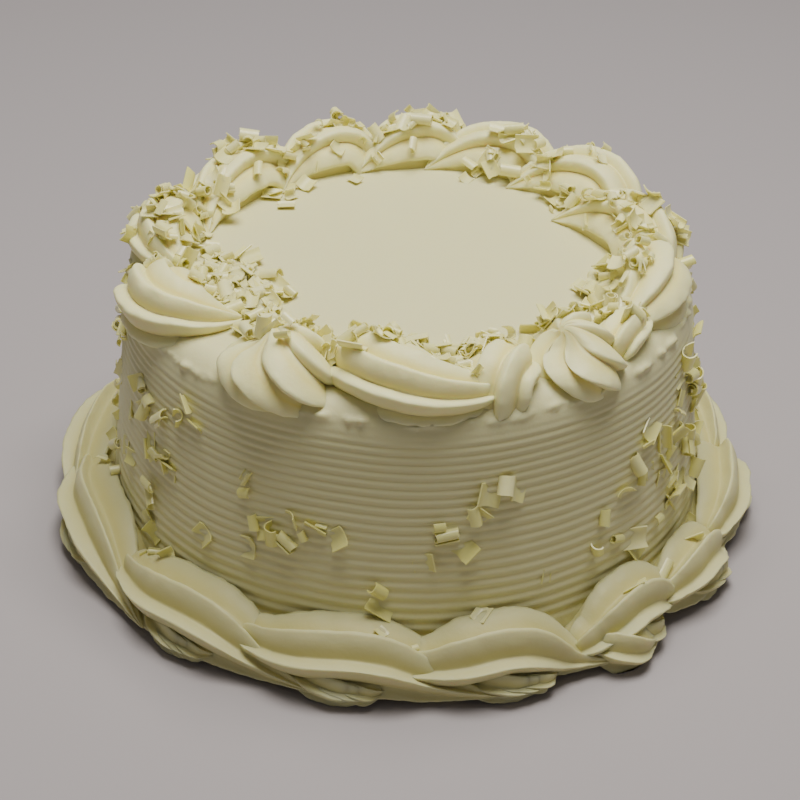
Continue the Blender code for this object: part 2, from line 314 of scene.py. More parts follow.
def fold(angle, offset, heading, bend, length, girth):
    """A small fold of cream beside a larger stroke."""
    return Stroke(angle, offset, heading, bend, length, girth, roll=30)


def nose_folds(angle):
    """The three folds beside the nose of a large shell that starts at this angle."""
    return (fold(angle + 7, -3.5, -30, 46, 27, 6.8), fold(angle + 10.5, -6, -26, 48, 20, 5.6),
            fold(angle + 14.5, -8, -18, 44, 13, 4.6))


def shell(angle, offset, heading, bend, length, girth, sway, roll):
    """One large shell of the foot border, with its folds."""
    folds = nose_folds(angle)
    return Stroke(angle, offset, heading, bend, length, girth, sway=sway, roll=roll, extras=folds)


# The border on the rim, counter-clockwise from the left
TOP_STROKES = [
    Stroke(197.5, -5, -46, 128, 37, 13.0, upright=5, ribs=8),
    Drop(241.5, -3, 17.3, 11.5, -125, stretch=1.18, lean_along=-4, lean_across=4),
    Stroke(258.5, 7.5, -62, 82, 48, 12.6, upright=3, roll=4, ribs=8, head=0.6),
    Stroke(288, -5, 60, -40, 20, 11.0, upright=8),
    Drop(308.5, -2.5, 15, 12, -135, stretch=1.05, lean_along=-4, lean_across=3),
    Stroke(320, -3.5, 0, 20, 22, 8.0, upright=3),
    Stroke(354, 2, 208, -48, 40, 13.5, upright=5,
           extras=(Drop(343.5, 5, 12, 10.5, -100, stretch=1.15, lean_along=3),)),
    Stroke(4, 0, 0, 50, 42, 13.0, upright=8),
    Stroke(31, -3, -10, 60, 40, 13.0, upright=8),
    Stroke(57, 0, -20, 60, 40, 12.5, upright=8),
    Stroke(82, -2, 0, 40, 36, 12.5, upright=8),
    Stroke(105, 2, -20, 60, 38, 12.5, upright=8),
    Stroke(131, 1, -10, 32, 50, 12.5, upright=8),
    Stroke(165, -4, -20, 60, 38, 12.0, upright=8),
]

# The border at the foot, counter-clockwise from the left
FOOT_STROKES = [
    shell(157, 2, -4, -14, 78, 13.2, sway=10, roll=-5),
    shell(187, 2, -4, -14, 76, 13.6, sway=10, roll=-5),
    shell(219, 2, -4, -14, 74, 13.3, sway=11, roll=-5),
    shell(247, 2, -6, -12, 76, 13.3, sway=14, roll=-10),
    shell(274, 1, 0, -24, 62, 13.3, sway=16, roll=12),
    Stroke(303, 0, 14, -42, 46, 12.5, sway=14, roll=20,
           extras=(fold(304, -3.5, -38, 30, 20, 9.5), fold(309, -6, -10, 30, 18, 6.5))),
    Stroke(322, 1, 0, -22, 44, 12.0, sway=10, roll=5,
           extras=(fold(327, -4, -26, 44, 20, 6.5), fold(331, -7, -18, 40, 14, 5.0))),
    shell(343, 2, -4, -16, 64, 13.2, sway=10, roll=-5),
    shell(9, 2, -4, -14, 74, 13.4, sway=11, roll=0),
    shell(38, 2, -4, -14, 74, 13.2, sway=10, roll=-5),
    shell(67, 2, -4, -14, 76, 13.4, sway=11, roll=0),
    shell(96, 2, -4, -14, 78, 13.4, sway=10, roll=-5),
    shell(126, 2, -4, -14, 80, 13.4, sway=11, roll=0),
]

# Curls on the side: angle in degrees and height in millimetres
SIDE_CURLS = [
    (222, 68), (225, 75), (226.5, 67.5), (218, 52), (220, 46), (215, 33), (214, 24), (217, 21), (230, 34),
    (240, 54), (239.6, 60), (241.5, 45), (239.6, 37), (248.4, 50), (244.5, 46.5), (251.4, 45),
    (248.6, 42), (257, 48), (255, 51), (246, 44), (253, 47), (286, 63), (288, 64), (291.6, 61),
    (283.3, 54), (282, 55.5), (277.5, 50), (276, 52), (280, 46), (273, 40), (296.8, 29.7), (265.7, 31),
    (267, 26), (314.5, 47), (309, 43), (307.6, 34), (312.6, 33), (318, 25), (316, 28.6), (320.7, 62),
    (326.8, 57), (323, 65.6), (323, 49.7), (326.8, 43), (320, 49), (318, 55), (333.6, 60), (336.4, 63),
    (340, 76), (344.5, 59), (331, 31), (325, 30), (329, 49), (330, 40), (336, 52), (338, 45), (342, 66),
    (346, 50), (349, 62),
]

# Middles of the heaps on the top border: angle in degrees and radius in millimetres
TOP_HEAPS = [
    (200, 68), (210, 62), (221, 59), (191, 63), (192, 74), (235, 76), (242, 75), (255, 71), (264, 69),
    (275, 65), (281, 77), (292, 68), (300, 66), (310, 64), (319, 66), (329, 68), (327, 76), (343, 75),
    (344, 63), (1, 77), (8, 84), (12, 73), (20, 66), (37, 67), (42, 84), (49, 68), (59, 73), (67, 67),
    (80, 80), (86, 81), (94, 72), (102, 69), (110, 75), (124, 70), (130, 76), (133, 84), (142, 77),
    (135, 62), (156, 73), (165, 73), (169, 80), (166, 89), (180, 87), (184, 78), (177, 73), (190, 55),
    (197, 60), (203, 55), (208, 61), (213, 53), (203, 66), (187, 61), (228, 66), (237, 69), (248, 70),
    (287, 68), (305, 66), (314, 66), (336, 66), (350, 66), (252, 61), (258, 57), (265, 58), (272, 59),
    (279, 62), (286, 62), (295, 62),
]

# Curls that fell on the foot border: angle in degrees and radius in millimetres
FOOT_CURLS = [
    (195, 99), (223, 101), (267, 103), (272, 106), (284, 100), (189, 102), (219, 101), (331, 107),
    (322, 104), (217, 103), (340, 101), (312, 106), (20, 103), (75, 102), (110, 104), (160, 102),
]
FOOT_CURL_SIZE = 0.8

# Loose heaps of curls on the side: from angle, to angle, from height, to height, number
SIDE_HEAPS = [
    (330, 345, 28, 78, 12), (345, 372, 30, 78, 24), (12, 60, 28, 76, 22), (60, 120, 28, 76, 20),
    (120, 170, 28, 76, 22), (170, 212, 28, 78, 28), (212, 222, 24, 74, 10),
]

# How the curls of a heap spread, rise on one another and tilt
HEAP_COUNT = 9
HEAP_SPREAD = 0.0042
HEAP_STEP = 0.00020
HEAP_SIZE = 0.86
TILT = 0.13
TILT_PER_RISE = 90
CURL_SIZES = (0.7, 1.2)
CURL_STRETCH = (0.75, 1.2)
# Curls that face up further than this are painted paler, as painted light
FACES_UP = 0.4
CURL_RAGGED = 0.0022
CURL_SHARP_ANGLE = math.radians(50)
CURL_ROWS = 4
CURL_WELD = 0.00001

# Where rays that look for the cream start: this far above the top, or out from the axis
DROP_HEIGHT = 0.1
THROW_DISTANCE = 0.3

# One kind of curl: its share of all, its sizes in metres, how far it turns and tightens, in how many steps,
# how far it may roll to either side, and how high it sits as a share of its radius
CurlKind = namedtuple("CurlKind", "name share length radius wall turn tightening steps roll seat")
CURL_KINDS = [
    CurlKind("curl_half_tubes", 4, 0.0072, 0.0021, 0.00040, 3.7, 0.15, 12, math.pi, 0.62),
    CurlKind("curl_rolls", 2, 0.0060, 0.0018, 0.00038, 8.0, 0.50, 24, math.pi, 0.62),
    CurlKind("curl_flakes", 6, 0.0072, 0.0046, 0.00040, 1.5, 0.10, 8, 0.5, 0.90),
    CurlKind("curl_shards", 4, 0.0046, 0.0018, 0.00040, 2.6, 0.30, 8, math.pi, 0.50),
]


# Small helpers for node trees


def node(tree, kind, **settings):
    made = tree.nodes.new(kind)
    for name, value in settings.items():
        setattr(made, name, value)
    return made


def feed(tree, socket, value):
    """Sets a socket, or links it where the value is another socket."""
    if isinstance(value, bpy.types.NodeSocket):
        tree.links.new(value, socket)
    else:
        socket.default_value = value


def math_node(tree, operation, *values):
    made = node(tree, "ShaderNodeMath", operation=operation)
    for socket, value in zip(made.inputs, values):
        feed(tree, socket, value)
    return made.outputs[0]


def times(tree, first, *others):
    """All the values multiplied with one another."""
    for other in others:
        first = math_node(tree, "MULTIPLY", first, other)
    return first


def minus(tree, first, second):
    return math_node(tree, "SUBTRACT", first, second)


def at_least(tree, value, lowest):
    return math_node(tree, "MAXIMUM", value, lowest)


def vector_math(tree, operation, *values, output=0):
    made = node(tree, "ShaderNodeVectorMath", operation=operation)
    for socket, value in zip(made.inputs, values):
        feed(tree, socket, value)
    return made.outputs[output]


def length_of(tree, vector):
    return vector_math(tree, "LENGTH", vector, output=1)


def scaled(tree, vector, amount):
    made = node(tree, "ShaderNodeVectorMath", operation="SCALE")
    feed(tree, made.inputs[0], vector)
    feed(tree, made.inputs["Scale"], amount)
    return made.outputs[0]


def combined(tree, x, y=0.0, z=0.0):
    """Vector of three values."""
    made = node(tree, "ShaderNodeCombineXYZ")
    for socket, value in zip(made.inputs, (x, y, z)):
        feed(tree, socket, value)
    return made.outputs[0]


def separated(tree, vector):
    """The three values of a vector."""
    made = node(tree, "ShaderNodeSeparateXYZ")
    feed(tree, made.inputs[0], vector)
    return made.outputs


def noise_field(tree, vector, scale, detail):
    made = node(tree, "ShaderNodeTexNoise")
    made.inputs["Scale"].default_value = scale
    made.inputs["Detail"].default_value = detail
    feed(tree, made.inputs["Vector"], vector)
    return made.outputs[0]


def swing(tree, vector, scale, detail, middle=0.5):
    """Noise that swings to both sides of zero."""
    return minus(tree, noise_field(tree, vector, scale, detail), middle)


def named(tree, name, data_type="FLOAT"):
    made = node(tree, "GeometryNodeInputNamedAttribute", data_type=data_type)
    made.inputs["Name"].default_value = name
    return made.outputs[0]


def store(tree, geometry, name, value):
    made = node(tree, "GeometryNodeStoreNamedAttribute", data_type="FLOAT", domain="POINT")
    feed(tree, made.inputs["Geometry"], geometry)
    made.inputs["Name"].default_value = name
    feed(tree, made.inputs["Value"], value)
    return made.outputs[0]


def moved(tree, geometry, offset):
    made = node(tree, "GeometryNodeSetPosition")
    feed(tree, made.inputs["Geometry"], geometry)
    feed(tree, made.inputs["Offset"], offset)
    return made.outputs[0]


def placed(tree, geometry, position):
    made = node(tree, "GeometryNodeSetPosition")
    feed(tree, made.inputs["Geometry"], geometry)
    feed(tree, made.inputs["Position"], position)
    return made.outputs[0]


def new_tree(name, inputs):
    """An empty geometry tree with a geometry in and out, and the given named inputs."""
    tree = bpy.data.node_groups.new(name, "GeometryNodeTree")
    tree.interface.new_socket(name="Geometry", in_out="INPUT", socket_type="NodeSocketGeometry")
    tree.interface.new_socket(name="Geometry", in_out="OUTPUT", socket_type="NodeSocketGeometry")
    for label, kind, value in inputs:
        socket = tree.interface.new_socket(name=label, in_out="INPUT", socket_type=kind)
        if value is not None:
            socket.default_value = value
    group_in = node(tree, "NodeGroupInput")
    group_out = node(tree, "NodeGroupOutput")
    return tree, group_in.outputs, group_out.inputs["Geometry"]


def close_tree(tree, geometry, surface, out):
    """Ends a tree: instances made real, then the material."""
    real = node(tree, "GeometryNodeRealizeInstances")
    feed(tree, real.inputs["Geometry"], geometry)
    finish = node(tree, "GeometryNodeSetMaterial")
    feed(tree, finish.inputs["Geometry"], real.outputs[0])
    feed(tree, finish.inputs["Material"], surface)
    feed(tree, out, finish.outputs[0])


def grown(name, source, tree, values):
    """Runs a tree on a mesh and returns the plain mesh object that comes out."""
    start = bpy.data.objects.new(name + "_start", source)
    bpy.context.scene.collection.objects.link(start)
    modifier = start.modifiers.new("shape", "NODES")
    modifier.node_group = tree
    for item in tree.interface.items_tree:
        if item.in_out == "INPUT" and item.name in values:
            modifier[item.identifier] = values[item.name]
    graph = bpy.context.evaluated_depsgraph_get()
    mesh = bpy.data.meshes.new_from_object(start.evaluated_get(graph))
    bpy.data.objects.remove(start, do_unlink=True)
    mesh.name = name
    if not mesh.polygons:
        raise RuntimeError(name + " came out empty")
    made = bpy.data.objects.new(name, mesh)
    bpy.context.scene.collection.objects.link(made)
    mesh.shade_smooth()
    return made


def turn_outward(obj):
    """Merges doubles and turns every face outwards."""
    bm = bmesh.new()
    bm.from_mesh(obj.data)
    bmesh.ops.remove_doubles(bm, verts=bm.verts, dist=DOUBLES)
    bmesh.ops.recalc_face_normals(bm, faces=bm.faces)
    bm.to_mesh(obj.data)
    bm.free()


# Materials


def new_material(name):
    """A material, its tree and its shader."""
    made = bpy.data.materials.new(name)
    made.use_nodes = True
    return made, made.node_tree, made.node_tree.nodes["Principled BSDF"]


def blend(tree, factor, low, high):
    """Colour between two colours, each of them a socket or three numbers."""
    made = node(tree, "ShaderNodeMix", data_type="RGBA")
    feed(tree, made.inputs["Factor"], factor)
    for name, colour in (("A", low), ("B", high)):
        if not isinstance(colour, bpy.types.NodeSocket):
            colour = (*colour, 1)
        feed(tree, made.inputs[name], colour)
    return made.outputs["Result"]


def attribute(tree, name):
    return node(tree, "ShaderNodeAttribute", attribute_name=name).outputs["Fac"]


def let_light_in(shader, colour, depth):
    """Light that enters the surface and comes out again tinted."""
    shader.inputs["Subsurface Weight"].default_value = GLOW
    shader.inputs["Subsurface Radius"].default_value = colour
    shader.inputs["Subsurface Scale"].default_value = depth


def roughen(tree, shader, field, strength, distance):
    """Relief that is too fine to model."""
    bump = node(tree, "ShaderNodeBump")
    bump.inputs["Strength"].default_value = strength
    bump.inputs["Distance"].default_value = distance
    feed(tree, bump.inputs["Height"], field)
    feed(tree, shader.inputs["Normal"], bump.outputs["Normal"])


def cream_material(name, colour, crease_shade_colour):
    """Whipped cream: soft, faintly glossy, with fine pores and slow blotches, and painted shade in its
    creases: darker and yellower where they are deep.
    """
    made, tree, shader = new_material(name)
    place = node(tree, "ShaderNodeTexCoord").outputs["Object"]
    darker = [BLOTCH_SHADE * value for value in colour]
    plain = blend(tree, noise_field(tree, place, scale=38, detail=3), darker, colour)
    # Painted shade: the crease colour, darker and yellower than the cream, is mixed in where the crease is
    # deep
    crease = math_node(tree, "POWER", attribute(tree, "crease"), CREASE_FADE)
    feed(tree, shader.inputs["Base Color"], blend(tree, crease, plain, crease_shade_colour))
    shader.inputs["Roughness"].default_value = CREAM_ROUGHNESS
    shader.inputs["Specular IOR Level"].default_value = CREAM_SHINE
    let_light_in(shader, CREAM_GLOW, CREAM_GLOW_DEPTH)
    roughen(tree, shader, noise_field(tree, place, scale=900, detail=4), strength=0.25, distance=0.0003)
    return made


def chocolate_material(name, colour, pale_and_lit):
    """White chocolate: waxy, greener and deeper than the cream, with fine lines that the scraper leaves, and
    paler where its tone says: partly a random tone, partly painted light on curls that face up.
    """
    made, tree, shader = new_material(name)
    place = node(tree, "ShaderNodeTexCoord").outputs["Object"]
    feed(tree, shader.inputs["Base Color"], blend(tree, attribute(tree, "tone_and_light"), colour, pale_and_lit))
    shader.inputs["Roughness"].default_value = CHOCOLATE_ROUGHNESS
    let_light_in(shader, CHOCOLATE_GLOW, CHOCOLATE_GLOW_DEPTH)
    roughen(tree, shader, noise_field(tree, place, scale=700, detail=3), strength=0.3, distance=0.0002)
    return made


# Sizes and colours that a user would change


class CakeSettings(bpy.types.PropertyGroup):
    comb_pitch: FloatProperty(
        name="Comb pitch", description="Height of one ridge on the side", default=0.00375, unit="LENGTH")
    comb_depth: FloatProperty(
        name="Comb depth", description="Depth of the grooves on the side", default=0.00045, unit="LENGTH")
    rib_depth: FloatProperty(
        name="Rib depth", description="Depth of a crease as a share of a stroke's radius", default=0.27,
        subtype="FACTOR")
    ripple: FloatProperty(
        name="Ripple", description="Height of the soft unevenness of piped cream", default=0.0009,
        unit="LENGTH")
    cream: FloatVectorProperty(
        name="Cream", description="Colour of the spread cream", default=(0.735, 0.700, 0.385), size=3,
        subtype="COLOR")
    # Painted light: the piped cream is the same cream as the spread cream, painted lighter for the light on
    # the borders
    lit_piping: FloatVectorProperty(
        name="Piping", description="Colour of the piped cream", default=(0.875, 0.840, 0.445), size=3,
        subtype="COLOR")
    # Painted shade: the crease colour is the cream painted darker and yellower deep in the creases and the
    # comb's grooves
    crease: FloatVectorProperty(
        name="Crease", description="Colour deep in the creases", default=(0.84, 0.745, 0.27), size=3,
        subtype="COLOR")
    chocolate: FloatVectorProperty(
        name="Chocolate", description="Colour of the deepest curls", default=(0.78, 0.735, 0.24), size=3,
        subtype="COLOR")
    # Painted light: curls that face up lean towards the pale colour, besides their random tone
    lit_pale_chocolate: FloatVectorProperty(
        name="Pale chocolate", description="Colour of the palest curls", default=(0.90, 0.84, 0.41), size=3,
        subtype="COLOR")
    seed: IntProperty(name="Seed", description="Seed of everything scattered", default=7)


def settings():
    """The user's sizes and colours."""
    return bpy.context.scene.cake


# The cake's body


def body_profile():
    """Points of (radius, height) up the side, round the rim and in over the top."""
    profile = []
    for step in range(SIDE_STEPS + 1):
        height = SIDE_HEIGHT * step / SIDE_STEPS
        profile.append((side_radius(height), height))
    drop = TOP_HEIGHT - SIDE_HEIGHT
    for step in range(1, RIM_STEPS + 1):
        turn = math.pi / 2 * step / RIM_STEPS
        profile.append((RIM_RADIUS - drop * (1 - math.cos(turn)), SIDE_HEIGHT + drop * math.sin(turn)))
    edge = RIM_RADIUS - drop
    for step in range(1, TOP_STEPS):
        profile.append((edge * (1 - step / TOP_STEPS), TOP_HEIGHT))
    return profile


def body_grid():
    """Closed turned surface without the comb's marks: side, rounded rim, top and base."""
    bm = bmesh.new()
    rings = []
    for radius, height in body_profile():
        ring = []
        for step in range(BODY_SEGMENTS):
            turn = math.tau * step / BODY_SEGMENTS
            ring.append(bm.verts.new((radius * math.cos(turn), radius * math.sin(turn), height)))
        rings.append(ring)
    for lower, upper in zip(rings, rings[1:]):
        for step in range(BODY_SEGMENTS):
            after = (step + 1) % BODY_SEGMENTS
            bm.faces.new((lower[step], lower[after], upper[after], upper[step]))
    top = bm.verts.new((0, 0, TOP_HEIGHT))
    base = bm.verts.new((0, 0, 0))
    for step in range(BODY_SEGMENTS):
        after = (step + 1) % BODY_SEGMENTS
        bm.faces.new((rings[-1][step], rings[-1][after], top))
        bm.faces.new((rings[0][after], rings[0][step], base))
    mesh = bpy.data.meshes.new("body_grid")
    bm.to_mesh(mesh)
    bm.free()
    return mesh


def comb_groove(tree, given, place, height):
    """How deep the comb's marks are at a place: grooves that get closer upwards and fade at the top."""
    wobble = times(tree, swing(tree, place, scale=22, detail=1.0), COMB_WOBBLE)
    level = math_node(tree, "ADD", height, wobble)
    rise = minus(tree, level, given["Foot"])
    narrowed = math_node(tree, "DIVIDE", times(tree, rise, given["Narrowing"]), given["Pitch"])
    ridges = math_node(tree, "LOGARITHM", minus(tree, 1.0, narrowed), math.e)
    phase = math_node(tree, "DIVIDE", ridges, given["Narrowing"])
    wave = math_node(tree, "COSINE", times(tree, phase, math.tau))
    groove = math_node(tree, "POWER", math_node(tree, "MULTIPLY_ADD", wave, 0.5, 0.5), COMB_SHARPNESS)
    started = math_node(tree, "GREATER_THAN", minus(tree, height, given["Foot"]), -COMB_OVERLAP)
    fade = math_node(tree, "DIVIDE", minus(tree, given["Top"], level), COMB_FADE)
    fade = math_node(tree, "MINIMUM", at_least(tree, fade, 0.0), 1.0)
    uneven = noise_field(tree, place, scale=60, detail=2.0)
    grip = math_node(tree, "MULTIPLY_ADD", uneven, GRIP_RANGE, LEAST_GRIP)
    return times(tree, groove, times(tree, started, fade), grip)


def rim_lip(tree, place, height):
    """Height of the ragged cream that stands along the rim."""
    from_rim = math_node(tree, "DIVIDE", minus(tree, height, LIP_HEIGHT), LIP_WIDTH)
    rim = math_node(tree, "EXPONENT", times(tree, from_rim, from_rim, -1.0))
    ragged = at_least(tree, swing(tree, place, scale=190, detail=3.0, middle=LIP_GAPS), 0.0)
    return times(tree, rim, ragged, LIP_SIZE)


def shoulder_lean(tree, across, height):
    """How far the side leans in above the comb, as a negative distance."""
    above = at_least(tree, minus(tree, height, SHOULDER_START), 0.0)
    outer = math_node(tree, "GREATER_THAN", length_of(tree, across), SHOULDER_INNER)
    return times(tree, above, above, SHOULDER_BEND, outer)


def comb_tree():
    """Geometry tree that draws a toothed comb round the side and leaves the rest slightly uneven."""
    tree, given, out = new_tree("Combed side", [
        ("Pitch", "NodeSocketFloat", 0.0035),
        ("Narrowing", "NodeSocketFloat", COMB_NARROWING),
        ("Depth", "NodeSocketFloat", 0.0009),
        ("Foot", "NodeSocketFloat", COMB_FOOT),
        ("Top", "NodeSocketFloat", COMB_TOP),
        ("Material", "NodeSocketMaterial", None),
    ])
    place = node(tree, "GeometryNodeInputPosition").outputs[0]
    x, y, height = separated(tree, place)
    across = combined(tree, x, y)
    radial = vector_math(tree, "NORMALIZE", across)
    groove = comb_groove(tree, given, place, height)
    shape = moved(tree, given["Geometry"], scaled(tree, radial, times(tree, groove, given["Depth"], -1.0)))
    bulge = times(tree, swing(tree, place, scale=14, detail=2.0), BULGE)
    bulge = math_node(tree, "ADD", bulge, rim_lip(tree, place, height))
    shape = moved(tree, shape, scaled(tree, radial, shoulder_lean(tree, across, height)))
    normal = node(tree, "GeometryNodeInputNormal").outputs[0]
    above_base = math_node(tree, "GREATER_THAN", height, BASE_BAND)
    shape = moved(tree, shape, scaled(tree, normal, times(tree, bulge, above_base)))
    # Painted shade: the grooves take the darker, yellower crease colour by their depth
    shape = store(tree, shape, "crease", times(tree, groove, COMB_SHADE))
    close_tree(tree, shape, given["Material"], out)
    return tree


class CAKE_OT_body(bpy.types.Operator):
    """Makes the combed side and the smooth top"""
    bl_idname = "cake.body"
    bl_label = "Combed body"

    def execute(self, context):
        values = settings()
        surface = cream_material("spread_cream", values.cream, values.crease)
        body = grown("frosted_body", body_grid(), comb_tree(), {
            "Pitch": values.comb_pitch, "Depth": values.comb_depth, "Material": surface})
        turn_outward(body)
        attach(body, "root")
        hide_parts("cake_body")
        return {"FINISHED"}


# Piped cream


def line_mesh(lines):
    """Chains of points that carry each ring's radius, roll, middle and level side."""
    mesh = bpy.data.meshes.new("stroke_lines")
    rings = []
    edges = []
    for line in lines:
        edges.extend((len(rings) + index, len(rings) + index + 1) for index in range(len(line) - 1))
        rings.extend(line)
    mesh.from_pydata([ring[0] for ring in rings], edges, [])
    for name, column in (("girth", 1), ("roll", 4)):
        numbers = mesh.attributes.new(name, "FLOAT", "POINT")
        numbers.data.foreach_set("value", [ring[column] for ring in rings])
    for name, column in (("middle", 0), ("side", 2)):
        vectors = mesh.attributes.new(name, "FLOAT_VECTOR", "POINT")
        vectors.data.foreach_set("vector", [value for ring in rings for value in ring[column]])
    return mesh


def star_outline(tree, given):
    """The nozzle's outline as a curve: rounded or sharp crests that lean to one side."""
    circle = node(tree, "GeometryNodeCurvePrimitiveCircle", mode="RADIUS")
    feed(tree, circle.inputs["Resolution"], given["Points"])
    circle.inputs["Radius"].default_value = 1.0
    turn = times(tree, node(tree, "GeometryNodeSplineParameter").outputs["Factor"], math.tau)
    half = times(tree, turn, given["Ribs"], 0.5)
    rounded = math_node(tree, "ABSOLUTE", math_node(tree, "COSINE", half))
    rounded = math_node(tree, "POWER", rounded, CREST_ROUNDNESS)
    valley = math_node(tree, "ABSOLUTE", math_node(tree, "SINE", half))
    sharp = minus(tree, 1.0, math_node(tree, "POWER", valley, VALLEY_SHARPNESS))
    crest = math_node(tree, "MULTIPLY_ADD", minus(tree, sharp, rounded), given["Edge"], rounded)
    crease = minus(tree, 1.0, crest)
    lobe = math_node(tree, "SINE", math_node(tree, "ADD", times(tree, turn, 2.0), given["Seed"]))
    lobe = math_node(tree, "MULTIPLY_ADD", lobe, given["Lobes"], 1.0)
    reach = times(tree, minus(tree, 1.0, times(tree, crease, given["Rib Depth"])), lobe)
    rib = math_node(tree, "DIVIDE", math.pi, given["Ribs"])
    leaning = math_node(tree, "ADD", turn, times(tree, crest, rib, given["Lean"]))
    star = placed(tree, circle.outputs[0], combined(
        tree, times(tree, reach, math_node(tree, "COSINE", leaning)),
        times(tree, reach, math_node(tree, "SINE", leaning))))
    # The crease share shapes the nicks and carries the painted shade of the creases
    return store(tree, star, "crease", crease)


def swept(tree, chain, outline):
    """The outline drawn along a chain of points, scaled and turned as they say."""
    path = node(tree, "GeometryNodeMeshToCurve")
    feed(tree, path.inputs[0], chain)
    normal = node(tree, "GeometryNodeSetCurveNormal")
    feed(tree, normal.inputs["Curve"], path.outputs[0])
    normal.mode = "FREE"
    feed(tree, normal.inputs["Normal"], named(tree, "side", "FLOAT_VECTOR"))
    tilt = node(tree, "GeometryNodeSetCurveTilt")
    feed(tree, tilt.inputs["Curve"], normal.outputs[0])
    feed(tree, tilt.inputs["Tilt"], named(tree, "roll"))
    solid = node(tree, "GeometryNodeCurveToMesh")
    feed(tree, solid.inputs["Curve"], tilt.outputs[0])
    feed(tree, solid.inputs["Profile Curve"], outline)
    feed(tree, solid.inputs["Scale"], named(tree, "girth"))
    solid.inputs["Fill Caps"].default_value = True
    return solid.outputs[0]


def widened(tree, shape, place):
    """Stretches a shape to its sides by as much as the level side is longer than 1."""
    side = named(tree, "side", "FLOAT_VECTOR")
    level = vector_math(tree, "NORMALIZE", side)
    from_middle = vector_math(tree, "SUBTRACT", place, named(tree, "middle", "FLOAT_VECTOR"))
    reach = vector_math(tree, "DOT_PRODUCT", from_middle, level, output=1)
    more = minus(tree, length_of(tree, side), 1.0)
    return moved(tree, shape, scaled(tree, level, times(tree, reach, more)))


def rippled(tree, given, shape, place):
    """Soft unevenness all over, and nicks along the crests."""
    field = vector_math(tree, "ADD", place, combined(tree, given["Seed"]))
    slow = swing(tree, field, scale=85, detail=1.0)
    quick = times(tree, swing(tree, field, scale=330, detail=1.0), QUICK_RIPPLE)
    crested = math_node(tree, "POWER", minus(tree, 1.0, named(tree, "crease")), NICKED_CRESTS)
    nicks = times(tree, crested, swing(tree, field, scale=200, detail=3.0), NICKS)
    uneven = math_node(tree, "ADD", math_node(tree, "ADD", slow, quick), nicks)
    normal = node(tree, "GeometryNodeInputNormal").outputs[0]
    return moved(tree, shape, scaled(tree, normal, times(tree, uneven, given["Ripple"])))


def piping_tree():
    """Geometry tree that pushes cream through a star nozzle along a line and settles it on the floor."""
    tree, given, out = new_tree("Piped cream", [
        ("Ribs", "NodeSocketInt", 7),
        ("Points", "NodeSocketInt", 112),
        ("Rib Depth", "NodeSocketFloat", 0.22),
        ("Edge", "NodeSocketFloat", 0.3),
        ("Lean", "NodeSocketFloat", -0.6),
        ("Lobes", "NodeSocketFloat", 0.06),
        ("Ripple", "NodeSocketFloat", 0.0009),
        ("Seed", "NodeSocketFloat", 0.0),
        ("Material", "NodeSocketMaterial", None),
    ])
    place = node(tree, "GeometryNodeInputPosition").outputs[0]
    shape = swept(tree, given["Geometry"], star_outline(tree, given))
    shape = rippled(tree, given, widened(tree, shape, place), place)
    x, y, height = separated(tree, place)
    shape = placed(tree, shape, combined(tree, x, y, at_least(tree, height, LOWEST_POINT)))
    close_tree(tree, shape, given["Material"], out)
    return tree


def pipe_border(name, items, place, lift, edge, depth, crease_shade_strength, painted_shade):
    """Pipes every stroke of a border.

    The edge says how sharp its ribs are and the depth how deep. The crease shade strength says how strongly
    its creases are painted with shade, and the painted shade how much lighter or darker its whole cream is
    painted for the light that falls on that border.
    """
    values = settings()
    # Painted light: the piped cream is painted lighter than the spread cream, and each border scales it
    # lighter or darker for the light that falls on it
    plain = [painted_shade * value for value in values.lit_piping]
    # Painted shade in the creases, mixed in as strongly as the border asks and darkened with its cream
    deep = [low + (painted_shade * high - low) * crease_shade_strength for low, high in zip(plain, values.crease)]
    surface = cream_material(name + "_cream", plain, deep)
    tree = piping_tree()
    for number, item in enumerate(items):
        node_name = f"{name}_{number + 1:02d}"
        lines = [part.line(place, lift) for part in (item, *item.extras)]
        piece = grown("piped_" + node_name, line_mesh(lines), tree, {
            "Ribs": item.ribs, "Points": item.ribs * POINTS_PER_RIB, "Rib Depth": values.rib_depth * depth,
            "Edge": edge, "Ripple": values.ripple, "Seed": values.seed + number * SEED_STEP,
            "Material": surface})
        turn_outward(piece)
        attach(piece, "root")
        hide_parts(node_name)


class CAKE_OT_top_border(bpy.types.Operator):
    """Pipes the swirls round the top"""
    bl_idname = "cake.top_border"
    bl_label = "Top border"

    def execute(self, context):
        pipe_border("top_swirl", TOP_STROKES, top_place, TOP_LIFT,
                    edge=0.35, depth=1.0, crease_shade_strength=1.0, painted_shade=1.0)
        return {"FINISHED"}


class CAKE_OT_foot_border(bpy.types.Operator):
    """Pipes the shells round the foot"""
    bl_idname = "cake.foot_border"
    bl_label = "Foot border"

    def execute(self, context):
        # The foot border gets less light, so its cream is painted darker as painted shade
        pipe_border("foot_shell", FOOT_STROKES, foot_place, FOOT_LIFT,
                    edge=0.85, depth=1.25, crease_shade_strength=0.7, painted_shade=0.71)
        return {"FINISHED"}


# Chocolate curls


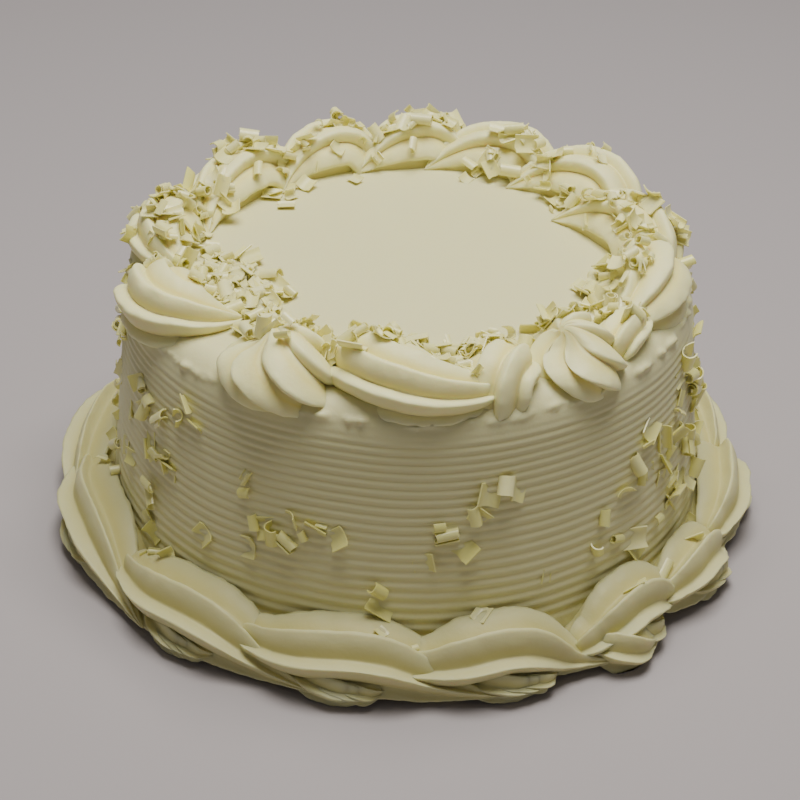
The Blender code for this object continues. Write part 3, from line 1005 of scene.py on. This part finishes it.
def shaving(tree, given, place):
    """One rolled-up shaving with a wall of its own, as a closed mesh."""
    grid = node(tree, "GeometryNodeMeshGrid")
    grid.inputs["Size X"].default_value = 1.0
    grid.inputs["Size Y"].default_value = 1.0
    feed(tree, grid.inputs["Vertices X"], given["Steps"])
    grid.inputs["Vertices Y"].default_value = CURL_ROWS
    around, along, _ = separated(tree, place)
    turn = minus(tree, times(tree, around, given["Turn"]), math.pi / 2)
    shrink = minus(tree, 1.0, times(tree, math_node(tree, "ADD", around, 0.5), given["Inward"]))
    radius = times(tree, given["Radius"], shrink)
    rolled = placed(tree, grid.outputs["Mesh"], combined(
        tree, times(tree, along, given["Length"]), times(tree, radius, math_node(tree, "COSINE", turn)),
        times(tree, radius, math_node(tree, "SINE", turn))))
    ragged = times(tree, swing(tree, place, scale=260, detail=1.0), CURL_RAGGED)
    sheet = moved(tree, rolled, combined(tree, ragged))
    thick = node(tree, "GeometryNodeExtrudeMesh", mode="FACES")
    feed(tree, thick.inputs["Mesh"], sheet)
    feed(tree, thick.inputs["Offset Scale"], given["Wall"])
    thick.inputs["Individual"].default_value = False
    back = node(tree, "GeometryNodeFlipFaces")
    feed(tree, back.inputs["Mesh"], sheet)
    join = node(tree, "GeometryNodeJoinGeometry")
    feed(tree, join.inputs[0], thick.outputs["Mesh"])
    feed(tree, join.inputs[0], back.outputs[0])
    welded = node(tree, "GeometryNodeMergeByDistance")
    feed(tree, welded.inputs["Geometry"], join.outputs[0])
    welded.inputs["Distance"].default_value = CURL_WELD
    return welded.outputs[0]


def curl_tree():
    """Geometry tree that rolls up a shaving and lays one on every point of its input."""
    tree, given, out = new_tree("Chocolate curls", [
        ("Length", "NodeSocketFloat", 0.0085),
        ("Radius", "NodeSocketFloat", 0.0024),
        ("Wall", "NodeSocketFloat", 0.0006),
        ("Turn", "NodeSocketFloat", 4.4),
        ("Inward", "NodeSocketFloat", 0.35),
        ("Steps", "NodeSocketInt", 14),
        ("Material", "NodeSocketMaterial", None),
    ])
    place = node(tree, "GeometryNodeInputPosition").outputs[0]
    laid = node(tree, "GeometryNodeInstanceOnPoints")
    feed(tree, laid.inputs["Points"], given["Geometry"])
    feed(tree, laid.inputs["Instance"], shaving(tree, given, place))
    feed(tree, laid.inputs["Rotation"], named(tree, "turned", "FLOAT_VECTOR"))
    feed(tree, laid.inputs["Scale"], named(tree, "size", "FLOAT_VECTOR"))
    close_tree(tree, laid.outputs[0], given["Material"], out)
    return tree


def cream_surface():
    """One search tree over the finished cream, to lay curls on."""
    vertices = []
    faces = []
    for obj in bpy.context.scene.objects:
        if obj.type == "MESH" and (obj.name.startswith("piped_") or obj.name == "frosted_body"):
            start = len(vertices)
            vertices.extend(vert.co.copy() for vert in obj.data.vertices)
            faces.extend([start + index for index in face.vertices] for face in obj.data.polygons)
    return BVHTree.FromPolygons(vertices, faces)


def from_above(cream, angle, radius):
    """Where something dropped over the cake lands on the cream."""
    turn = math.radians(angle)
    start = Vector((radius * math.cos(turn), radius * math.sin(turn), TOP_HEIGHT + DROP_HEIGHT))
    return cream.ray_cast(start, Vector((0, 0, -1)))


def from_outside(cream, angle, height):
    """Where something thrown at the side lands on the cream."""
    turn = math.radians(angle)
    away = Vector((math.cos(turn), math.sin(turn), 0))
    start = away * THROW_DISTANCE + Vector((0, 0, height))
    return cream.ray_cast(start, -away)


def curl_spots(chance, cream):
    """Every curl's place: point, outward direction, how far it is heaped on others, and its size."""
    hits = [(from_outside(cream, angle, height / 1000), 0.0, 1.0) for angle, height in SIDE_CURLS]
    for angle, radius in FOOT_CURLS:
        hits.append((from_above(cream, angle, radius / 1000), 0.0, FOOT_CURL_SIZE))
    for start, end, low, high, count in SIDE_HEAPS:
        for _ in range(count):
            angle = chance.uniform(start, end)
            hits.append((from_outside(cream, angle, chance.uniform(low, high) / 1000), 0.0, 1.0))
    for angle, radius in TOP_HEAPS:
        for index in range(HEAP_COUNT):
            near = radius / 1000 + chance.gauss(0, HEAP_SPREAD)
            turn = angle + math.degrees(chance.gauss(0, HEAP_SPREAD) / near)
            hits.append((from_above(cream, turn, near), HEAP_STEP * index, HEAP_SIZE))
    return [(hit[0], hit[1], heaped, size) for hit, heaped, size in hits if hit[0] is not None]


def spot_mesh(spots, chance, kind):
    """Points that carry each curl's turn, size and tone; the tone is random, and those that face up are
    painted paler as painted light.
    """
    mesh = bpy.data.meshes.new("curl_spots")
    places = []
    turns = []
    sizes = []
    for point, normal, heaped, size in spots:
        tilt = Vector(chance.gauss(0, TILT + TILT_PER_RISE * heaped) for _ in range(3))
        up = (normal + tilt).normalized()
        size *= chance.uniform(*CURL_SIZES)
        turn = up.to_track_quat("Z", "Y").to_matrix() @ Matrix.Rotation(chance.uniform(0, math.tau), 3, "Z")
        turn = turn @ Matrix.Rotation(chance.uniform(-kind.roll, kind.roll), 3, "X")
        places.append(point + normal * (kind.radius * size * kind.seat + heaped))
        turns.extend(turn.to_euler())
        sizes.extend((size * chance.uniform(*CURL_STRETCH), size, size))
    # Painted light: a random tone, plus a paler half for curls that face up towards the lamp
    tones_and_light = [chance.uniform(0, 0.5) + (0.5 if normal.z > FACES_UP else 0) for _, normal, _, _ in spots]
    mesh.from_pydata(places, [], [])
    for name, vectors in (("turned", turns), ("size", sizes)):
        mesh.attributes.new(name, "FLOAT_VECTOR", "POINT").data.foreach_set("vector", vectors)
    mesh.attributes.new("tone_and_light", "FLOAT", "POINT").data.foreach_set("value", tones_and_light)
    return mesh


class CAKE_OT_curls(bpy.types.Operator):
    """Scatters the shaved chocolate over the borders and the side"""
    bl_idname = "cake.curls"
    bl_label = "Chocolate curls"

    def execute(self, context):
        values = settings()
        chance = random.Random(values.seed)
        surface = chocolate_material("white_chocolate", values.chocolate, values.lit_pale_chocolate)
        tree = curl_tree()
        spots = curl_spots(chance, cream_surface())
        sorted_spots = [[] for _ in CURL_KINDS]
        shares = [kind.share for kind in CURL_KINDS]
        for spot in spots:
            chance.choices(sorted_spots, shares)[0].append(spot)
        for kind, chosen in zip(CURL_KINDS, sorted_spots):
            piece = grown(kind.name, spot_mesh(chosen, chance, kind), tree, {
                "Length": kind.length, "Radius": kind.radius, "Wall": kind.wall, "Turn": kind.turn,
                "Inward": kind.tightening, "Steps": kind.steps, "Material": surface})
            piece.data.set_sharp_from_angle(angle=CURL_SHARP_ANGLE)
            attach(piece, "root")
        return {"FINISHED"}


# The stage


def add_floor(scene):
    bm = bmesh.new()
    bmesh.ops.create_grid(bm, x_segments=FLOOR_CELLS, y_segments=FLOOR_CELLS, size=FLOOR_HALF_WIDTH)
    mesh = bpy.data.meshes.new("floor")
    bm.to_mesh(mesh)
    bm.free()
    floor = bpy.data.objects.new("floor", mesh)
    scene.collection.objects.link(floor)
    paint, _, shader = new_material("floor_paint")
    shader.inputs["Base Color"].default_value = FLOOR_COLOUR
    shader.inputs["Roughness"].default_value = FLOOR_ROUGHNESS
    mesh.materials.append(paint)


def add_light(scene):
    """A dim room and one large soft lamp nearly overhead."""
    world = bpy.data.worlds.new("soft_room")
    world.use_nodes = True
    background = world.node_tree.nodes["Background"]
    background.inputs["Color"].default_value = ROOM_COLOUR
    background.inputs["Strength"].default_value = ROOM_STRENGTH
    scene.world = world
    lamp = bpy.data.lights.new("ceiling", "AREA")
    lamp.energy = LAMP_ENERGY
    lamp.size = LAMP_SIZE
    lamp.color = LAMP_COLOUR
    made = bpy.data.objects.new("ceiling", lamp)
    made.location = LAMP_PLACE
    made.rotation_euler = (Vector(LAMP_AIM) - Vector(LAMP_PLACE)).to_track_quat("-Z", "Y").to_euler()
    scene.collection.objects.link(made)


def add_camera(scene):
    """Camera in front of the cake that looks down on it, tipped slightly to one side."""
    back = Vector((0, -math.cos(CAMERA_ELEVATION), math.sin(CAMERA_ELEVATION)))
    right = Vector((1, 0, 0))
    up = back.cross(right)
    level = math.cos(CAMERA_ROLL) * right - math.sin(CAMERA_ROLL) * up
    upright = math.sin(CAMERA_ROLL) * right + math.cos(CAMERA_ROLL) * up
    camera = bpy.data.objects.new("camera", bpy.data.cameras.new("camera"))
    turned = Matrix((level, upright, back)).transposed().to_4x4()
    turned.translation = CAMERA_AIM + back * CAMERA_DISTANCE
    camera.matrix_world = turned
    camera.data.sensor_width = SENSOR_WIDTH
    camera.data.lens = LENS
    scene.collection.objects.link(camera)
    bpy.context.scene.camera = camera


class CAKE_OT_stage(bpy.types.Operator):
    """Sets the floor, the soft light and the camera"""
    bl_idname = "cake.stage"
    bl_label = "Stage"

    def execute(self, context):
        add_floor(context.scene)
        add_light(context.scene)
        add_camera(context.scene)
        return {"FINISHED"}


class CAKE_PT_panel(bpy.types.Panel):
    """Lists the cake's parts in the order they are made"""
    bl_idname = "CAKE_PT_panel"
    bl_label = "Cake"
    bl_space_type = "VIEW_3D"
    bl_region_type = "UI"
    bl_category = "Cake"

    def draw(self, context):
        for operator in OPERATORS:
            self.layout.operator(operator.bl_idname)


OPERATORS = (CAKE_OT_body, CAKE_OT_top_border, CAKE_OT_foot_border, CAKE_OT_curls, CAKE_OT_stage)
CLASSES = (CakeSettings, *OPERATORS, CAKE_PT_panel)


def register():
    for made in CLASSES:
        bpy.utils.register_class(made)
    bpy.types.Scene.cake = PointerProperty(type=CakeSettings)


def unregister():
    del bpy.types.Scene.cake
    for made in reversed(CLASSES):
        bpy.utils.unregister_class(made)


def main():
    register()
    bpy.ops.cake.body()
    bpy.ops.cake.top_border()
    bpy.ops.cake.foot_border()
    bpy.ops.cake.curls()
    bpy.ops.cake.stage()


if __name__ == "__main__":
    main()
